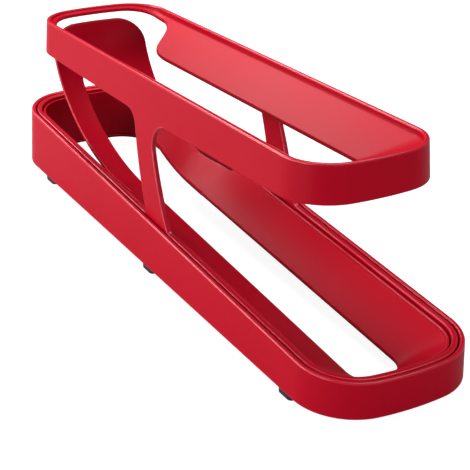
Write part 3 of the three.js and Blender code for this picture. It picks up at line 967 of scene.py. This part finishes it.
def makeRedPlastic():
    look = redPlastic
    finish = Finish(bpy.data.materials.new("satin_red_plastic"))
    cloud, grain, wave = [finish.noise(*look[name]) for name in ("cloud", "grain", "wave")]
    edge = finish.node("ShaderNodeAttribute", {"attribute_name": "edge"}, output="Fac")
    patch = finish.blend(cloud, look["deepColour"], look["colour"])
    # painted highlight: rows marked as edge are lightened toward the edge highlight red
    colour = finish.blend(edge * look["edgeHighlightShare"], patch, look["edgeHighlightColour"])
    roughness = ((cloud + grain - 1) * look["roughnessSpread"] + look["roughness"]
                 - edge * look["edgeSmoothing"])
    sink = finish.node("ShaderNodeBump", None, {
        "Strength": look["waveStrength"], "Distance": look["waveDepth"], "Height": wave})
    bump = finish.node("ShaderNodeBump", None, {
        "Strength": look["grainStrength"], "Distance": look["grainDepth"], "Height": grain,
        "Normal": sink})
    surface = finish.node("ShaderNodeBsdfPrincipled", None, {
        "Base Color": colour, "Roughness": roughness, "Normal": bump, "IOR": look["ior"],
        "Specular IOR Level": look["gloss"], "Coat Weight": edge * look["edgePolish"],
        "Coat Roughness": look["edgeRoughness"]})
    finish.node("ShaderNodeOutputMaterial", None, {"Surface": surface})
    return finish.owner


blackRubber = {
    "colour": (0.012, 0.012, 0.013, 1),
    "dustColour": (0.035, 0.034, 0.033, 1),
    "roughness": 0.72,
    "roughnessSpread": 0.15,
    "cloud": (260.0, 3.0, 0.5),
    "grain": (2600.0, 2.0, 0.5),
    "grainDepth": 0.0001,
    "grainStrength": 0.35,
}


def makeBlackRubber():
    look = blackRubber
    finish = Finish(bpy.data.materials.new("matt_black_rubber"))
    cloud, grain = [finish.noise(*look[name]) for name in ("cloud", "grain")]
    colour = finish.blend(cloud, look["colour"], look["dustColour"])
    bump = finish.node("ShaderNodeBump", None, {
        "Strength": look["grainStrength"], "Distance": look["grainDepth"], "Height": grain})
    roughness = (cloud - 0.5) * look["roughnessSpread"] + look["roughness"]
    surface = finish.node("ShaderNodeBsdfPrincipled", None, {
        "Base Color": colour, "Roughness": roughness, "Normal": bump})
    finish.node("ShaderNodeOutputMaterial", None, {"Surface": surface})
    return finish.owner


def makeFeet(material):
    places = {
        "rear": feet["rearSetback"],
        "middle": rack["length"] / 2,
        "front": rack["length"] - feet["frontSetback"],
    }
    y = rack["width"] / 2 - feet["inset"]
    for row, x in places.items():
        makeFoot("foot_" + row + "_left", x, y, material)
        makeFoot("foot_" + row + "_right", x, -y, material)


red = makeRedPlastic()
black = makeBlackRubber()
makeBaseFrame(red)
makeLowerTrack(red)
makeStand(red)
makeFeet(black)
print("pieces made")

# Studio: a pale floor that keeps the shadow, soft lamps and a plain white world

studio = {
    "floor": (0.3, 0.3, 0.3, 1),
    "floorReach": 6,        # metres, as the lamps' places are
    "floorGlow": 0.93,      # added where the floor is seen, so that it shows white
    "mirrorShare": 0.05,    # how much of the white surround mirror rays get
    "fill": 0.06,           # the surround's light on the object
    "aim": (0, 0, 0.06),    # what the lamps stand round
    "lamps": {              # direction from the aim, distance, width, height, watts, mirrored
        "key": ((-0.5, -0.86, 0.11), 0.85, 0.6, 0.3, 4.6, True),
        "side": ((0.2, -0.97, 0.1), 0.9, 0.6, 0.3, 2.6, True),
        "front": ((0.9, 0.05, 0.26), 1.25, 0.9, 0.45, 5.6, False),
        "top": ((-0.15, 0.3, 0.95), 1.0, 0.8, 0.6, 5.2, True),
        "above": ((-0.6, -0.1, 0.79), 0.75, 0.5, 0.5, 4.8, False),
        "behind": ((-0.8, -0.08, 0.6), 1.4, 0.7, 0.34, 4.8, True),
    },
}


def makeFloor(scene):
    reach = studio["floorReach"]
    mesh = bpy.data.meshes.new("floor")
    corners = [(-reach, -reach, 0), (reach, -reach, 0), (reach, reach, 0), (-reach, reach, 0)]
    mesh.from_pydata(corners, [], [(0, 1, 2, 3)])
    floor = bpy.data.objects.new("floor", mesh)
    scene.collection.objects.link(floor)
    finish = Finish(bpy.data.materials.new("pale_floor"))
    mirrored = finish.ray("Is Glossy Ray") + finish.ray("Is Transmission Ray")
    seen = finish.ray("Is Camera Ray") + mirrored * studio["mirrorShare"]
    matt = finish.node("ShaderNodeBsdfDiffuse", None, {"Color": studio["floor"]})
    glow = finish.node("ShaderNodeEmission", None, {"Strength": seen * studio["floorGlow"]})
    both = finish.node("ShaderNodeAddShader", None, {0: matt, 1: glow})
    finish.node("ShaderNodeOutputMaterial", None, {"Surface": both})
    mesh.materials.append(finish.owner)


def makeWorld(scene):
    finish = Finish(bpy.data.worlds.new("studio"))
    mirrored = finish.ray("Is Glossy Ray") + finish.ray("Is Transmission Ray")
    seen = finish.ray("Is Camera Ray")
    others = 1 - seen - mirrored
    sky = finish.node("ShaderNodeBackground", None, {
        "Color": (1, 1, 1, 1),
        "Strength": seen + mirrored * studio["mirrorShare"] + others * studio["fill"]})
    finish.node("ShaderNodeOutputWorld", None, {"Surface": sky})
    scene.world = finish.owner


def makeLamp(scene, name, direction, distance, width, height, watts, mirrored):
    lamp = bpy.data.lights.new(name, "AREA")
    lamp.shape = "RECTANGLE"
    lamp.size, lamp.size_y, lamp.energy = width, height, watts
    holder = bpy.data.objects.new(name, lamp)
    toward = Vector(direction).normalized()
    holder.visible_glossy = mirrored
    holder.location = toward * distance + Vector(studio["aim"])
    holder.rotation_euler = toward.to_track_quat("Z", "Y").to_euler()
    scene.collection.objects.link(holder)


def makeStudio():
    scene = bpy.context.scene
    scene.view_settings.view_transform = "Standard"
    makeFloor(scene)
    makeWorld(scene)
    for name, values in studio["lamps"].items():
        makeLamp(scene, name, *values)


camera = {
    "place": (0.52355, -0.30692, 0.31162),
    "right": (0.5045, 0.8628, 0.0318),
    "up": (-0.3977, 0.1995, 0.8956),
    "lens": 103.69,
    "sensor": 36.0,
    "nearest": 0.01,
    "farthest": 50,
}


def makeCamera():
    lens = bpy.data.cameras.new("camera")
    lens.lens, lens.sensor_width = camera["lens"], camera["sensor"]
    lens.clip_start, lens.clip_end = camera["nearest"], camera["farthest"]
    holder = bpy.data.objects.new("camera", lens)
    right = Vector(camera["right"]).normalized()
    back = right.cross(Vector(camera["up"])).normalized()
    turn = Matrix((right, back.cross(right), back)).transposed().to_4x4()
    holder.matrix_world = Matrix.Translation(camera["place"]) @ turn
    bpy.context.scene.collection.objects.link(holder)
    bpy.context.scene.camera = holder


makeStudio()
makeCamera()
print("studio and camera made")
